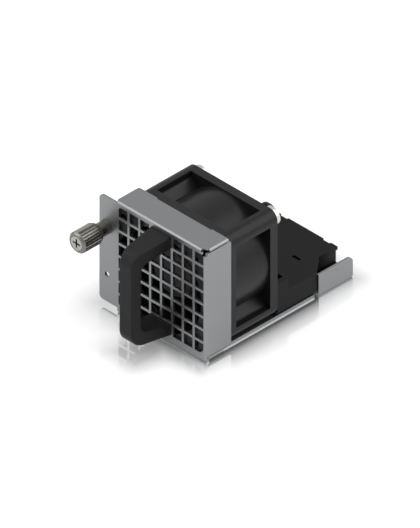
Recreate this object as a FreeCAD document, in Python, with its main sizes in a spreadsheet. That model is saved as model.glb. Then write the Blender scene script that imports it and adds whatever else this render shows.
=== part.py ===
"""Hot-swappable fan module: a bent sheet tray with a 40 mm fan, a pull handle,
a captive thumbscrew and a plug housing at the back.

X runs across the front plate, Y from the front plate to the back, Z up. The origin is on
the surface that the tray stands on, under the middle of the module.
"""
import FreeCAD, Part
import math
import os

import Sketcher

SIZES = {
    # bent sheet
    "sheet_thickness": 0.9,
    "bend_flat": 0.05,
    "plate_left_inset": 1.9,
    "plate_side_margin": 1.4,
    "fan_headroom": 0.8,
    "ear_width": 8.0,
    "ear_bottom": 1.9,
    "ear_top_drop": 0.8,
    "ear_corner_radius": 1.5,
    "ear_hole_radius": 1.0,
    "ear_hole_drop": 8.6,
    "flange_overhang": 0.7,
    "flange_depth": 10.4,
    "flange_setback": 0.45,
    "setback_left": 10.2,
    "setback_right": 13.7,
    "flange_corner_radius": 0.9,
    "wall_depth": 11.4,
    "wall_bottom": 2.0,
    "wall_seam": 0.4,
    "wall_corner_radius": 0.7,
    "relief_radius": 1.5,
    "relief_inset": 0.7,
    "tray_side_inset": 0.2,
    "tray_tail": 0.5,
    "tray_notch_depth": 5.0,
    "corner_notch_depth": 1.6,
    "rail_length": 15.2,
    "rail_side_gap": 0.5,
    "rail_height": 8.1,
    "rail_corner_radius": 2.0,
    "rail_relief": 1.2,
    # air grille
    "grille_margin": 1.12,
    "grille_bar": 0.9,
    "grille_count": 8,
    "grille_middle": 1.45,
    "grille_rise": 0.9,
    "window_left_radius": 1.4,
    "window_right_radius": 2.4,
    # handle
    "handle_reach": 15.8,
    "handle_root_width": 8.9,
    "handle_grip_width": 5.9,
    "handle_root_inset": 1.9,
    "handle_taper": 3.5,
    "handle_arm": 4.5,
    "handle_grip": 3.6,
    "handle_outer_radius": 5.5,
    "handle_inner_radius": 3.0,
    "handle_edge_radius": 0.7,
    "handle_screw_radius": 1.5,
    "handle_screw_depth": 7.0,
    "handle_screw_inset": 4.7,
    "screw_hole_clearance": 0.15,
    "panel_head_radius": 2.6,
    "panel_head_height": 1.5,
    # frame between the plate and the fan
    "mount_depth": 4.5,
    "mount_opening_inset": 1.4,
    "lug_width": 8.6,
    "lug_reach": 5.6,
    "lug_depth": 2.6,
    "nut_half_width": 2.5,
    "nut_height": 2.3,
    # fan frame
    "fan_width": 40.0,
    "fan_depth": 28.0,
    "fan_corner_radius": 3.5,
    "fan_front_section": 9.6,
    "fan_rear_flange": 3.2,
    "recess_inset": 4.5,
    "barrel_inset": 0.6,
    "fan_barrel_wall": 1.0,
    "fan_screw_inset": 4.0,
    "fan_screw_radius": 1.25,
    "fan_hole_clearance": 0.15,
    "fan_tube_wall": 0.4,
    "fan_head_radius": 3.3,
    "fan_head_height": 2.6,
    "fan_head_rim": 1.9,
    "fan_head_flat": 2.4,
    "strut_width": 2.4,
    "strut_depth": 2.6,
    "motor_base_radius": 9.2,
    "motor_base_depth": 2.0,
    # rotor
    "hub_radius": 9.2,
    "hub_wall": 0.9,
    "hub_front": 1.0,
    "hub_depth": 22.0,
    "blade_count": 5,
    "blade_front": 2.0,
    "blade_rear": 21.5,
    "blade_root_depth": 2.6,
    "blade_root_sweep": 8.5,
    "blade_tip_sweep": 15.0,
    "blade_camber": 1.8,
    "blade_thickness": 1.2,
    "blade_edge": 0.5,
    "tip_clearance": 0.5,
    "yoke_wall": 0.6,
    "yoke_depth": 19.0,
    "magnet_wall": 0.9,
    "magnet_depth": 13.0,
    "shaft_radius": 1.0,
    "shaft_tail": 0.4,
    "clip_groove_depth": 0.2,
    "clip_radius": 1.8,
    "clip_thickness": 0.3,
    # stator
    "bearing_radius": 2.5,
    "bearing_width": 2.3,
    "bearing_running_fit": 0.03,
    "bearing_tube_wall": 0.6,
    "bearing_tube_front": 6.0,
    "air_gap": 0.4,
    "stator_front": 9.0,
    "stator_depth": 9.0,
    "pole_width": 2.6,
    "pole_shoe": 0.9,
    "pole_shoe_width": 6.2,
    "winding_build": 0.7,
    "winding_overhang": 1.2,
    "motor_board_thickness": 0.8,
    "motor_board_radius": 7.6,
    # thumbscrew
    "thumbscrew_rise": 9.9,
    "thumbscrew_side_gap": 2.7,
    "knob_front": 13.6,
    "knob_gap": 0.6,
    "knob_radius": 3.8,
    "knob_nose_radius": 3.4,
    "knob_face_radius": 2.7,
    "knob_bevel": 0.7,
    "knob_front_wall": 1.3,
    "knob_tail_radius": 3.3,
    "knurl_count": 22,
    "knurl_depth": 0.28,
    "knurl_start": 0.9,
    "knurl_length": 6.6,
    "ferrule_radius": 2.5,
    "ferrule_wall": 0.5,
    "ferrule_seat_radius": 2.15,
    "sliding_clearance": 0.08,
    "thumbscrew_travel": 4.2,
    "thread_radius": 1.5,
    "thread_tip": 3.2,
    "thread_bevel": 0.4,
    "neck_radius": 1.2,
    "slot_half_width": 0.25,
    "slot_reach": 1.2,
    "slot_depth": 0.7,
    "collar_radius": 1.85,
    "collar_width": 0.7,
    "spring_radius": 2.08,
    "spring_wire_radius": 0.17,
    "spring_turns": 4.5,
    "spring_wire_sides": 6,
    # plug housing
    "housing_height": 8.0,
    "housing_wall": 1.2,
    "housing_shoulder": 17.1,
    "housing_waist": 24.1,
    "housing_length": 32.5,
    "tail_inset": 5.8,
    "housing_lip": 0.8,
    "housing_ledge": 1.7,
    "housing_skirt": 1.1,
    "horn_width": 1.5,
    "horn_length": 4.8,
    "horn_height": 4.4,
    "lead_gate_inset": 8.2,
    "lead_gate_length": 5.2,
    "vent_start": 7.9,
    "vent_width": 3.2,
    "vent_length": 1.2,
    "vent_back": 19.4,
    "post_radius": 2.0,
    "housing_post_radius": 2.3,
    "housing_screw_radius": 1.2,
    "housing_screw_head": 2.1,
    "housing_screw_length": 5.0,
    "front_post_inset": 3.8,
    "front_post_back": 12.6,
    "rear_post_inset": 3.8,
    "rear_post_back": 27.6,
    # board and plugs
    "board_half_width": 11.0,
    "board_front": 11.0,
    "board_length": 12.8,
    "board_height": 1.7,
    "board_thickness": 0.8,
    "board_post_offset": 8.6,
    "board_post_back": 20.6,
    "board_screw_radius": 0.8,
    "board_screw_head": 1.6,
    "board_screw_head_height": 0.8,
    "header_offset": 7.4,
    "header_half_width": 3.6,
    "header_length": 4.0,
    "header_height": 3.2,
    "plug_length": 3.4,
    "plug_half_width": 3.1,
    "plug_height": 2.6,
    "socket_half_width": 7.7,
    "socket_length": 8.6,
    "socket_wall": 1.1,
    "socket_floor": 2.0,
    "pin_count": 6,
    "pin_pitch": 2.0,
    "pin_width": 0.6,
    "pin_tip_setback": 5.0,
    "pin_tail": 3.0,
    # fan lead
    "lead_radius": 0.8,
    "lead_sides": 8,
    "lead_exit_offset": 8.8,
    "lead_exit_height": 8.8,
    "lead_standoff": 3.9,
    "lead_crest_left": 9.3,
    "lead_crest_inset": 5.0,
    "lead_crest_drop": 3.1,
    "lead_drop": 15.0,
    "lead_sway": 2.2,
    "lead_fall_inset": 6.6,
    "lead_plug_run": 3.4,
}

# How many stretches each side of a blade's section is drawn in.
BLADE_STATIONS = 4

# The share of the shorter run beside a corner of the lead that its arc takes up.
BEND_SHARE = 0.45

# Sizes that follow from the others, so that the module keeps together when one of them changes.
FOLLOWING = {
    "fan_half": "fan_width / 2",
    "fan_screw_spacing": "fan_width - 2 * fan_screw_inset",
    "fan_barrel_radius": "fan_half - barrel_inset",
    "fan_recess_half_width": "fan_half - recess_inset",
    "mount_opening_radius": "fan_half - mount_opening_inset",
    "plate_left": "fan_half - plate_left_inset",
    "plate_right": "fan_half + plate_side_margin",
    "plate_height": "fan_width + fan_headroom + 2 * sheet_thickness",
    "ear_reach": "plate_left + ear_width",
    "ear_top": "plate_height - ear_top_drop",
    "ear_hole_height": "sheet_thickness + fan_half - ear_hole_drop",
    "flange_left": "plate_left + flange_overhang",
    "tray_half_width": "fan_half - tray_side_inset",
    "tray_length": "sheet_thickness + mount_depth + fan_depth + housing_length + tray_tail",
    "rail_half_width": "fan_half + rail_side_gap",
    "grille_pitch": "(fan_width - grille_margin) / grille_count",
    "grille_middle_height": "sheet_thickness + fan_half + grille_rise",
    "handle_root_height": "fan_width - handle_root_inset",
    "handle_grip_height": "handle_root_height - handle_taper",
    "handle_screw_spacing": "handle_root_height - handle_screw_inset",
    "thumbscrew_height": "sheet_thickness + fan_half + thumbscrew_rise",
    "thumbscrew_offset": "fan_half + thumbscrew_side_gap",
    "housing_half_width": "fan_half",
    "housing_tail_half_width": "fan_half - tail_inset",
    "lead_gate_left": "fan_half - lead_gate_inset",
    "front_post_offset": "fan_half - front_post_inset",
    "rear_post_offset": "housing_tail_half_width - rear_post_inset",
    "lead_crest_right": "fan_half - lead_crest_inset",
    "lead_crest_height": "fan_half - lead_crest_drop",
    "lead_fall_offset": "fan_half - lead_fall_inset",
}

doc = FreeCAD.newDocument("fan_module")
sheet = doc.addObject("Spreadsheet::Sheet", "Sizes")
rows = [(name, str(value)) for name, value in SIZES.items()]
rows += [(name, f"={formula}") for name, formula in FOLLOWING.items()]
for row, (name, value) in enumerate(rows, start=1):
    sheet.set(f"A{row}", name)
    sheet.set(f"B{row}", value)
    sheet.setAlias(f"B{row}", name)
doc.recompute()


class Size:
    """A length that carries its value and the expression that ties it to the sheet."""

    def __init__(self, value, text=None):
        self.value = float(value)
        self.text = text or repr(self.value)

    def join(self, other, value, sign, swap=False):
        other = as_size(other)
        first, second = (other, self) if swap else (self, other)
        return Size(value(first.value, second.value), f"({first.text} {sign} {second.text})")

    def __add__(self, other):
        return self.join(other, lambda a, b: a + b, "+")

    def __radd__(self, other):
        return self.join(other, lambda a, b: a + b, "+", swap=True)

    def __sub__(self, other):
        return self.join(other, lambda a, b: a - b, "-")

    def __rsub__(self, other):
        return self.join(other, lambda a, b: a - b, "-", swap=True)

    def __mul__(self, other):
        return self.join(other, lambda a, b: a * b, "*")

    def __rmul__(self, other):
        return self.join(other, lambda a, b: a * b, "*", swap=True)

    def __truediv__(self, other):
        return self.join(other, lambda a, b: a / b, "/")

    def __neg__(self):
        return Size(-self.value, f"(-1 * {self.text})")


def as_size(number):
    return number if isinstance(number, Size) else Size(number)


class Sheet:
    """Reads a size from the spreadsheet by its name."""

    def __getattr__(self, name):
        return Size(sheet.get(name), f"Sizes.{name}")


s = Sheet()

# The module is drawn about the fan's axis and the plate's outer face, and then moved so that
# the origin is under the middle of its box.
SHIFT_X = (s.ear_reach - s.plate_right) / 2
SHIFT_Y = (s.handle_reach - s.tray_length) / 2
FAN_FRONT = s.sheet_thickness + s.mount_depth
FAN_BACK = FAN_FRONT + s.fan_depth
FAN_AXIS = s.sheet_thickness + s.fan_width / 2
PLANES = {"XY": "XY_Plane", "XZ": "XZ_Plane", "YZ": "YZ_Plane"}


def bind(thing, field, size):
    """Ties one field of an object to its size."""
    thing.setExpression(field, as_size(size).text)


def place(thing, x, y, z):
    """Puts an object at its place in the module."""
    for axis, size in zip("xyz", (x + SHIFT_X, y + SHIFT_Y, as_size(z))):
        bind(thing, f"Placement.Base.{axis}", size)


def box(left, right, low, high):
    """A rectangle's corners."""
    return [(left, low), (right, low), (right, high), (left, high)]


def polygon(across, up, radius, sides):
    """The corners of a regular outline about a point."""
    turns = [2 * math.pi * (number + 0.5) / sides for number in range(sides)]
    return [(across + radius * math.cos(turn), up + radius * math.sin(turn)) for turn in turns]


class Round:
    """A circle in a sketch."""

    def __init__(self, across, up, radius):
        self.across, self.up, self.radius = as_size(across), as_size(up), as_size(radius)


def pin(sketch, kind, line, corner, size):
    """Holds one coordinate of a point, on an axis where it is nought."""
    if abs(size.value) < 1e-9:
        axis = {"DistanceX": -2, "DistanceY": -1}[kind]
        sketch.addConstraint(Sketcher.Constraint("PointOnObject", line, corner, axis))
        return
    number = sketch.addConstraint(Sketcher.Constraint(kind, -1, 1, line, corner, size.value))
    bind(sketch, f"Constraints[{number}]", size)


def draw(sketch, loop):
    """Adds a closed outline or a circle to a sketch and holds it by its sizes."""
    first = sketch.GeometryCount
    if isinstance(loop, Round):
        centre = FreeCAD.Vector(loop.across.value, loop.up.value, 0)
        sketch.addGeometry(Part.Circle(centre, FreeCAD.Vector(0, 0, 1), loop.radius.value))
        pin(sketch, "DistanceX", first, 3, loop.across)
        pin(sketch, "DistanceY", first, 3, loop.up)
        number = sketch.addConstraint(Sketcher.Constraint("Radius", first, loop.radius.value))
        bind(sketch, f"Constraints[{number}]", loop.radius)
        return
    points = [(as_size(across), as_size(up)) for across, up in loop]
    corners = [FreeCAD.Vector(across.value, up.value, 0) for across, up in points]
    for start, end in zip(corners, corners[1:] + corners[:1]):
        sketch.addGeometry(Part.LineSegment(start, end))
    for number, (across, up) in enumerate(points):
        after = (number + 1) % len(points)
        sketch.addConstraint(Sketcher.Constraint("Coincident", first + number, 2, first + after, 1))
        pin(sketch, "DistanceX", first + number, 1, across)
        pin(sketch, "DistanceY", first + number, 1, up)


class Piece:
    """One separate piece of the module, built feature by feature."""

    def __init__(self, name, x=0, y=0, z=0):
        self.body = doc.addObject("PartDesign::Body", name)
        self.body.Label = name
        self.origin = {item.Role: item for item in self.body.Origin.OriginFeatures}
        place(self.body, x, y, z)

    def sketch(self, plane, level, loops, turn=0):
        sketch = self.body.newObject("Sketcher::SketchObject", f"{self.body.Name}_sketch")
        sketch.AttachmentSupport = (self.origin[PLANES[plane]], "")
        sketch.MapMode = "FlatFace"
        turned = FreeCAD.Rotation(FreeCAD.Vector(0, 0, 1), turn)
        sketch.AttachmentOffset = FreeCAD.Placement(FreeCAD.Vector(0, 0, 0), turned)
        level = as_size(level)
        bind(sketch, "AttachmentOffset.Base.z", -level if plane == "XZ" else level)
        for loop in loops:
            draw(sketch, loop)
        return sketch

    def feature(self, kind, profile):
        made = self.body.newObject(f"PartDesign::{kind}", f"{self.body.Name}_{kind.lower()}")
        made.Profile = profile
        self.body.Tip = made
        return made

    def pad(self, plane, start, end, *loops, turn=0):
        """Adds material between two levels along the plane's axis."""
        made = self.feature("Pad", self.sketch(plane, start, loops, turn))
        made.Reversed = plane == "XZ"
        bind(made, "Length", as_size(end) - as_size(start))
        return made

    def cut(self, plane, start, end, *loops, turn=0):
        """Takes material away between two levels along the plane's axis."""
        made = self.feature("Pocket", self.sketch(plane, start, loops, turn))
        made.Reversed = plane != "XZ"
        bind(made, "Length", as_size(end) - as_size(start))
        return made

    def turned(self, *loops, kind="Revolution"):
        """Turns outlines of (radius, distance along Y) about the piece's own Y axis."""
        sketch = self.sketch("XY", 0, loops)
        made = self.feature(kind, sketch)
        made.ReferenceAxis = (sketch, ["V_Axis"])
        made.Angle = 360
        return made

    def around(self, features, count):
        """Repeats features evenly about the piece's own Y axis."""
        made = self.body.newObject("PartDesign::PolarPattern", f"{self.body.Name}_around")
        made.Originals = features
        made.Axis = (self.origin["Y_Axis"], [""])
        made.Angle = 360
        bind(made, "Occurrences", count)
        self.body.Tip = made
        return made

    def row(self, feature, axis, count, pitch):
        """Repeats a feature in a straight row."""
        made = self.body.newObject("PartDesign::LinearPattern", f"{self.body.Name}_row")
        made.Originals = [feature]
        made.Direction = (self.origin[axis], [""])
        bind(made, "Length", pitch * (count - 1))
        bind(made, "Occurrences", count)
        self.body.Tip = made
        return made

    def dress(self, kind, field, size, chosen):
        """Rounds or bevels each edge of the piece so far that the test picks."""
        doc.recompute()
        base = self.body.Tip
        names = [f"Edge{number}" for number, edge in enumerate(base.Shape.Edges, start=1) if chosen(edge)]
        if not names:
            raise RuntimeError(f"{self.body.Name}: no edge to dress")
        made = self.body.newObject(f"PartDesign::{kind}", f"{self.body.Name}_{kind.lower()}")
        made.Base = (base, names)
        bind(made, field, size)
        self.body.Tip = made
        return made

    def fillet(self, size, chosen):
        return self.dress("Fillet", "Radius", size, chosen)

    def chamfer(self, size, chosen):
        return self.dress("Chamfer", "Size", size, chosen)


def at(edge, slack=0.02, **levels):
    """Whether an edge lies wholly at the given levels, such as x=3 and z=0."""
    bounds = edge.BoundBox
    for axis, size in levels.items():
        low, high = getattr(bounds, f"{axis.upper()}Min"), getattr(bounds, f"{axis.upper()}Max")
        wanted = as_size(size).value
        if abs(low - wanted) > slack or abs(high - wanted) > slack:
            return False
    return True


def runs(edge, axis):
    """Whether an edge is a straight line along the axis."""
    bounds = edge.BoundBox
    spans = {"x": bounds.XLength, "y": bounds.YLength, "z": bounds.ZLength}
    along = spans.pop(axis)
    return along > 0.05 and max(spans.values()) < 1e-4


def group(name, tools):
    """Several separate solids that share one node."""
    made = doc.addObject("Part::Compound", name)
    made.Label = name
    made.Links = tools
    return made


def cylinder(name, radius, length, x, y, z, along="y"):
    """A plain round bar that starts at a point of the module and runs along an axis."""
    made = doc.addObject("Part::Cylinder", name)
    turn = {"y": ((1, 0, 0), -90), "z": ((0, 0, 1), 0)}[along]
    made.Placement = FreeCAD.Placement(FreeCAD.Vector(), FreeCAD.Rotation(FreeCAD.Vector(*turn[0]), turn[1]))
    bind(made, "Radius", radius)
    bind(made, "Height", length)
    place(made, x, y, z)
    return made


def fused(name, first, *others):
    """Joins solids into one."""
    made = doc.addObject("Part::MultiFuse", name)
    made.Shapes = [first, *others]
    return made


nodes = []


def bracket():
    """The tray: one sheet, cut and bent, with the front plate, its ear and the rear rails."""
    piece = Piece("bracket")
    sheet_thickness, seam = s.sheet_thickness, s.wall_seam
    top = s.plate_height
    wall_top = top - sheet_thickness - seam
    ear_left = -s.ear_reach
    plate_left = -s.plate_left
    piece.pad("XZ", 0, sheet_thickness, [
        (plate_left, 0), (s.plate_right, 0), (s.plate_right, top), (plate_left, top),
        (plate_left, s.ear_top), (ear_left, s.ear_top), (ear_left, s.ear_bottom), (plate_left, s.ear_bottom),
    ])
    setback = s.flange_depth - s.flange_setback
    piece.pad("XY", top - sheet_thickness, top, [
        (-s.flange_left, sheet_thickness), (plate_left, sheet_thickness), (plate_left, 0),
        (s.plate_right, 0), (s.plate_right, s.flange_depth),
        (s.setback_right + s.flange_setback, s.flange_depth), (s.setback_right, setback),
        (-s.setback_left, setback), (-s.setback_left - s.flange_setback, s.flange_depth),
        (-s.flange_left, s.flange_depth),
    ])
    piece.pad("YZ", s.plate_right - sheet_thickness, s.plate_right,
              box(0, s.wall_depth, s.wall_bottom, wall_top))
    rail_front = s.tray_length - s.rail_length
    relief_front = rail_front - s.rail_relief
    half = s.tray_half_width
    piece.pad("XY", 0, sheet_thickness, [
        (plate_left, 0), (s.plate_right, 0), (s.plate_right, s.corner_notch_depth), (half, s.corner_notch_depth),
        (half, relief_front), (half - s.rail_relief, relief_front),
        (half - s.rail_relief, rail_front), (s.rail_half_width, rail_front),
        (s.rail_half_width, s.tray_length), (-s.rail_half_width, s.tray_length),
        (-s.rail_half_width, rail_front), (-half + s.rail_relief, rail_front),
        (-half + s.rail_relief, relief_front), (-half, relief_front),
        (-half, s.tray_notch_depth), (plate_left, s.tray_notch_depth),
    ])
    for inner in (s.rail_half_width - sheet_thickness, -s.rail_half_width):
        piece.pad("YZ", inner, inner + sheet_thickness, box(rail_front, s.tray_length, 0, s.rail_height))

    def bend(edge):
        front = runs(edge, "x") and (at(edge, y=0, z=0) or at(edge, y=0, z=top))
        side = runs(edge, "z") and at(edge, x=s.plate_right, y=0)
        lip = runs(edge, "y") and at(edge, x=s.plate_right, z=top)
        rail = runs(edge, "y") and (at(edge, x=s.rail_half_width, z=0) or at(edge, x=-s.rail_half_width, z=0))
        return front or side or lip or rail

    piece.fillet(sheet_thickness - s.bend_flat, bend)
    relief_x, relief_y = s.plate_right - s.relief_inset, s.relief_inset
    piece.cut("XY", wall_top, top, Round(relief_x, relief_y, s.relief_radius))
    piece.cut("XZ", 0, sheet_thickness, Round(relief_x, top - s.relief_inset, s.relief_radius))
    piece.fillet(s.ear_corner_radius, lambda edge: runs(edge, "y") and at(edge, x=ear_left))
    piece.fillet(s.flange_corner_radius, lambda edge: runs(edge, "z") and at(edge, y=s.flange_depth)
                 and at(edge, x=-s.flange_left))
    piece.fillet(s.wall_corner_radius, lambda edge: runs(edge, "x") and at(edge, y=s.wall_depth))
    piece.fillet(s.rail_corner_radius, lambda edge: runs(edge, "x") and at(edge, y=s.tray_length, z=s.rail_height))

    grille(piece)
    piece.cut("XZ", 0, sheet_thickness, *[
        Round(s.grille_middle, s.grille_middle_height + side * s.handle_screw_spacing / 2,
              s.handle_screw_radius + s.screw_hole_clearance) for side in (-1, 1)])
    piece.cut("XZ", 0, sheet_thickness, Round(-s.thumbscrew_offset, s.ear_hole_height, s.ear_hole_radius))
    piece.cut("XZ", 0, sheet_thickness, Round(-s.thumbscrew_offset, s.thumbscrew_height, s.ferrule_seat_radius))
    cones = [sink(f"tray_sink_{number}", spot) for number, spot in enumerate(housing_screw_spots())]
    doc.recompute()
    tray = doc.addObject("Part::Cut", "tray")
    tray.Base = piece.body
    tray.Tool = group("tray_sinks", cones)
    tray.Label = "bracket"
    piece.body.Label = "bracket_blank"
    nodes.append(("bracket", tray))


def grille(piece):
    """The air window, crossed by bars both ways, and closed behind the handle's two feet."""
    hole = s.grille_pitch - s.grille_bar
    half = s.grille_pitch * (s.grille_count / 2) - s.grille_bar / 2
    left, low = s.grille_middle - half, s.grille_middle_height - half
    right, high = s.grille_middle + half, s.grille_middle_height + half
    piece.cut("XZ", 0, s.sheet_thickness, box(left, right, low, high))
    for level, radius in ((left, s.window_left_radius), (right, s.window_right_radius)):
        piece.fillet(radius, lambda edge: runs(edge, "y") and at(edge, x=level) and (
            at(edge, z=low) or at(edge, z=high)))
    bars = s.grille_count - 1
    upright = piece.pad("XZ", 0, s.sheet_thickness, box(left + hole, left + s.grille_pitch, low, high))
    piece.row(upright, "X_Axis", bars, s.grille_pitch)
    level = piece.pad("XZ", 0, s.sheet_thickness, box(left, right, low + hole, low + s.grille_pitch))
    piece.row(level, "Z_Axis", bars, s.grille_pitch)
    feet_left, feet_right = s.grille_middle - s.grille_pitch, s.grille_middle + s.grille_pitch
    for foot, top in ((low, low + s.grille_pitch), (high - s.grille_pitch, high)):
        piece.pad("XZ", 0, s.sheet_thickness, box(feet_left, feet_right, foot, top))


def housing_screw_spots():
    """The four screws under the tray that hold the plug housing."""
    spots = []
    for offset, back in ((s.front_post_offset, s.front_post_back), (s.rear_post_offset, s.rear_post_back)):
        spots += [(-offset, FAN_BACK + back), (offset, FAN_BACK + back)]
    return spots


def sink(name, spot, play=None):
    """A countersunk hole's shape, or a flat head that fills it."""
    made = doc.addObject("Part::Cone", name)
    play = play or s.screw_hole_clearance
    bind(made, "Radius1", s.housing_screw_head + play)
    bind(made, "Radius2", s.housing_screw_radius + play)
    bind(made, "Height", s.sheet_thickness)
    place(made, *spot, 0)
    return made


def handle():
    """The pull handle: a moulded hoop that narrows towards its grip."""
    piece = Piece("handle", s.grille_middle, 0, s.grille_middle_height)
    root, grip = s.handle_root_height / 2, s.handle_grip_height / 2
    inner_root, inner_grip = root - s.handle_arm, grip - s.handle_arm
    front, back = -s.handle_reach, -s.handle_reach + s.handle_grip
    half = s.handle_root_width / 2
    narrow = s.handle_grip_width / 2
    piece.pad("YZ", -half, half, [
        (0, root), (front, grip), (front, -grip), (0, -root),
        (0, -inner_root), (back, -inner_grip), (back, inner_grip), (0, inner_root),
    ])
    for side in (-1, 1):
        piece.cut("XY", -root, root, [
            (side * half, 0), (side * narrow, front), (side * half * 2, front), (side * half * 2, 0),
        ])
    piece.fillet(s.handle_outer_radius, lambda edge: at(edge, y=front) and runs(edge, "x"))
    piece.fillet(s.handle_inner_radius, lambda edge: at(edge, y=back) and runs(edge, "x"))
    piece.fillet(s.handle_edge_radius, lambda edge: at(edge, y=front) and runs(edge, "z"))
    piece.cut("XZ", -s.handle_screw_depth, 0, *[
        Round(0, side * s.handle_screw_spacing / 2, s.handle_screw_radius) for side in (-1, 1)])
    nodes.append(("handle", piece.body))


def handle_screws():
    """Two screws from inside: through the fan's frame and the plate into the handle's feet."""
    screws = []
    seat = s.sheet_thickness + s.lug_depth
    for side, name in ((-1, "lower"), (1, "upper")):
        screw = Piece(f"{name}_handle_screw", s.grille_middle, seat,
                      s.grille_middle_height + side * s.handle_screw_spacing / 2)
        length = seat + s.handle_screw_depth - s.screw_hole_clearance
        screw.turned([(0, -length), (s.handle_screw_radius, -length), (s.handle_screw_radius, 0),
                      (s.panel_head_radius, 0), (s.panel_head_radius, s.panel_head_height),
                      (0, s.panel_head_height)])
        screws.append(screw.body)
    nodes.append(("handle_screws", group("handle_screws", screws)))


def fan_corners():
    """The four screw axes of the fan, from its own axis."""
    half = s.fan_screw_spacing / 2
    return [(-half, -half), (half, -half), (half, half), (-half, half)]


def mounting_frame():
    """The moulded frame that spaces the fan from the plate and takes its screws."""
    piece = Piece("mounting_frame", 0, s.sheet_thickness, FAN_AXIS)
    half = s.fan_width / 2
    piece.pad("XZ", 0, s.mount_depth, box(-half, half, -half, half))
    piece.fillet(s.fan_corner_radius, lambda edge: runs(edge, "y"))
    piece.cut("XZ", 0, s.mount_depth, Round(0, 0, s.mount_opening_radius))
    lug_left = s.grille_middle - s.lug_width / 2
    for side in (-1, 1):
        inner, outer = side * (half - s.lug_reach), side * (half - s.housing_wall)
        piece.pad("XZ", 0, s.lug_depth, box(lug_left, lug_left + s.lug_width, inner, outer))
    # Pockets clear the screw heads between the lugs and the fan.
    spots = [s.grille_middle_height - FAN_AXIS + side * s.handle_screw_spacing / 2 for side in (-1, 1)]
    piece.cut("XZ", s.lug_depth, s.mount_depth, *[
        Round(s.grille_middle, spot, s.panel_head_radius + s.screw_hole_clearance) for spot in spots])
    piece.cut("XZ", 0, s.lug_depth, *[
        Round(s.grille_middle, spot, s.handle_screw_radius + s.screw_hole_clearance) for spot in spots])
    piece.cut("XZ", 0, s.mount_depth, *[
        Round(x, z, s.fan_screw_radius + s.fan_hole_clearance) for x, z in fan_corners()])
    piece.cut("XZ", s.mount_depth - s.nut_height, s.mount_depth, *[nut_outline(x, z) for x, z in fan_corners()])
    nodes.append(("mounting_frame", piece.body))


def nut_outline(x, z):
    """A square nut's outline about its screw."""
    return box(x - s.nut_half_width, x + s.nut_half_width, z - s.nut_half_width, z + s.nut_half_width)


def frame_nuts():
    """Square nuts trapped between the mounting frame and the fan."""
    piece = Piece("frame_nuts", 0, s.sheet_thickness, FAN_AXIS)
    piece.body.AllowCompound = True
    piece.pad("XZ", s.mount_depth - s.nut_height, s.mount_depth, *[nut_outline(x, z) for x, z in fan_corners()],
              *[Round(x, z, s.fan_screw_radius) for x, z in fan_corners()])
    nodes.append(("frame_nuts", piece.body))


def fan_screws():
    """Four long screws through the fan's corners into the nuts behind the plate."""
    screws = []
    for number, (x, z) in enumerate(fan_corners()):
        screw = Piece(f"fan_screw_{number}", x, FAN_BACK, FAN_AXIS + z)
        length = s.fan_depth + s.mount_depth - s.screw_hole_clearance
        screw.turned([(0, -length), (s.fan_screw_radius, -length), (s.fan_screw_radius, 0),
                      (s.fan_head_radius, 0), (s.fan_head_radius, s.fan_head_rim),
                      (s.fan_head_flat, s.fan_head_height), (0, s.fan_head_height)])
        screws.append(screw.body)
    nodes.append(("fan_screws", group("fan_screws", screws)))


def fan_frame():
    """The fan's moulded frame: barrel, corner posts, flanges, struts and motor base."""
    piece = Piece("fan_frame", 0, FAN_FRONT, FAN_AXIS)
    half, depth = s.fan_width / 2, s.fan_depth
    recess, front, back = s.fan_recess_half_width, s.fan_front_section, depth - s.fan_rear_flange
    piece.pad("XZ", 0, depth, box(-half, half, -half, half))
    piece.fillet(s.fan_corner_radius, lambda edge: runs(edge, "y"))
    # Each side is cut back to the barrel between the corner posts and the two flanges.
    far = half + s.fan_corner_radius
    piece.cut("XZ", front, back, [
        (recess, recess), (recess, far), (-recess, far), (-recess, recess), (-far, recess), (-far, -recess),
        (-recess, -recess), (-recess, -far), (recess, -far), (recess, -recess), (far, -recess), (far, recess),
    ], Round(0, 0, s.fan_barrel_radius))
    # A thin tube closes each screw hole where it runs along the edge of a recess.
    hole = s.fan_screw_radius + s.fan_hole_clearance
    piece.pad("XZ", front, back, *[Round(x, z, hole + s.fan_tube_wall) for x, z in fan_corners()])
    # A web ties each corner post to the barrel.
    corner = s.fan_screw_spacing / 2 * math.sqrt(2)
    web = piece.pad("XZ", front, back, box(s.fan_barrel_radius - s.fan_barrel_wall, corner,
                                           -hole - s.fan_tube_wall, hole + s.fan_tube_wall), turn=-45)
    piece.around([web], 4)
    bore = s.fan_barrel_radius - s.fan_barrel_wall
    piece.cut("XZ", 0, depth, Round(0, 0, bore))
    strut = piece.pad("XZ", depth - s.strut_depth, depth,
                      box(s.motor_base_radius - s.hub_wall, bore + s.fan_barrel_wall / 2,
                          -s.strut_width / 2, s.strut_width / 2), turn=-45)
    piece.around([strut], 4)
    base_front = depth - s.motor_base_depth
    piece.pad("XZ", base_front, depth, Round(0, 0, s.motor_base_radius))
    piece.cut("XZ", base_front, depth - s.hub_wall, Round(0, 0, s.bearing_radius + s.bearing_tube_wall))
    piece.cut("XZ", 0, depth, *[Round(x, z, hole) for x, z in fan_corners()])
    piece.chamfer(s.hub_wall, lambda edge: at(edge, y=0) and abs(edge.BoundBox.XLength - 2 * bore.value) < 0.1)
    nodes.append(("fan_frame", piece.body))


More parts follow.
